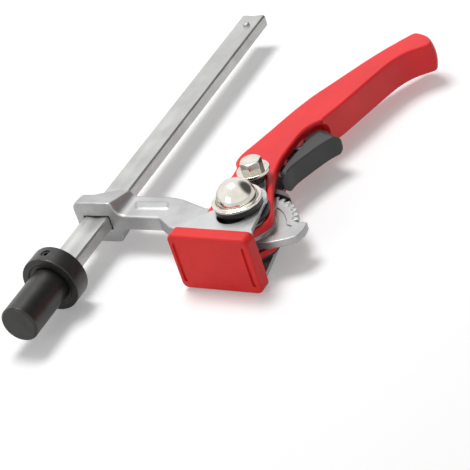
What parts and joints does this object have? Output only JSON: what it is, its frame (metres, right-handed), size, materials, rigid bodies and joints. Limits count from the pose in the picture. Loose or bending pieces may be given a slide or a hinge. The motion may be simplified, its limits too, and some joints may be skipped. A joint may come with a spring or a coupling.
{
  "type": "quick release bar clamp",
  "caption": "Quick release bar clamp for a bench dog hole: a flat bar on a round post, a sliding arm, a lever handle with a squeeze trigger, and a swivelling pad.",
  "frame": {"origin": "on the bar's axis, in the plane where the stop collar rests on the bench top", "axes": "+Y along the bar, away from the bench and towards its free end; +X from the bar to the pad; +Z square to both, on the side of the cap nut"},
  "size_m": [0.1456, 0.286, 0.0466],
  "materials": {
    "plated_steel": "zinc plated drawn bar with fine lengthwise lines",
    "cast_zinc": "light grey rough casting",
    "zinc_plate": "bright zinc plated sheet, slightly dull",
    "black_oxide": "black oxide, turned",
    "black_bolt": "black oxide bolt",
    "pin_steel": "ground steel",
    "nickel": "polished nickel plate",
    "dark_steel": "dark sintered steel",
    "red_plastic": "satin red moulded plastic",
    "pad_plastic": "soft matte red plastic",
    "grey_plastic": "fine textured dark grey plastic",
    "black_plastic": "black moulded plastic"
  },
  "bodies": {
    "frame": {"bar": "plated_steel", "dog_post": "black_oxide", "tang_pin": "pin_steel", "stop_collar": "black_oxide", "set_screw": "black_oxide", "end_stop_pin": "pin_steel"},
    "arm": {"slide_arm": "cast_zinc", "brake_pins": "pin_steel", "pivot_bushing": "pin_steel", "pivot_bolt": "black_bolt", "cap_nut": "nickel"},
    "handle": {"handle_shell": "red_plastic", "cheek_plate_top": "zinc_plate", "cheek_plate_bottom": "zinc_plate", "latch_bolt": "nickel", "latch_washer": "nickel", "rear_washer": "nickel", "latch_spacer": "black_plastic", "latch_nut": "nickel", "latch_sleeve": "pin_steel"},
    "trigger": {"pawl_lever": "dark_steel", "trigger_grip": "grey_plastic", "trigger_rivets": "pin_steel", "pawl_spring": "pin_steel"},
    "foot_guide": {"guide_block_top": "black_plastic", "guide_block_bottom": "black_plastic"},
    "foot": {"foot_bracket": "zinc_plate", "foot_pad": "pad_plastic", "foot_rivets": "pin_steel"}
  },
  "joints": [
    {"name": "arm_slide", "type": "slide", "parent": "frame", "child": "arm", "axis": [0, 1, 0], "range_m": [-0.0405, 0.169]},
    {"name": "handle_swing", "type": "hinge", "parent": "arm", "child": "handle", "pos_m": [0.0888, 0.049, 0], "axis": [0, 0, 1], "range_deg": [-35, 24]},
    {"name": "trigger_squeeze", "type": "hinge", "parent": "handle", "child": "trigger", "pos_m": [0.0828, 0.0792, 0], "axis": [0, 0, 1], "range_deg": [0, 5], "stiffness_Nm_per_rad": 0.4, "springref_deg": -14.32},
    {"name": "foot_swivel", "type": "hinge", "parent": "arm", "child": "foot_guide", "pos_m": [0.0888, 0.049, 0], "axis": [0, 0, 1], "range_deg": [-0.4, 7.6]},
    {"name": "foot_press", "type": "slide", "parent": "foot_guide", "child": "foot", "axis": [-0.0628, -0.998, 0], "range_m": [-0.0029, 0.002]}
  ],
  "couplings": [
    {"joint": "foot_press", "follows": "handle_swing", "m_per_rad": 0.00458}
  ]
}
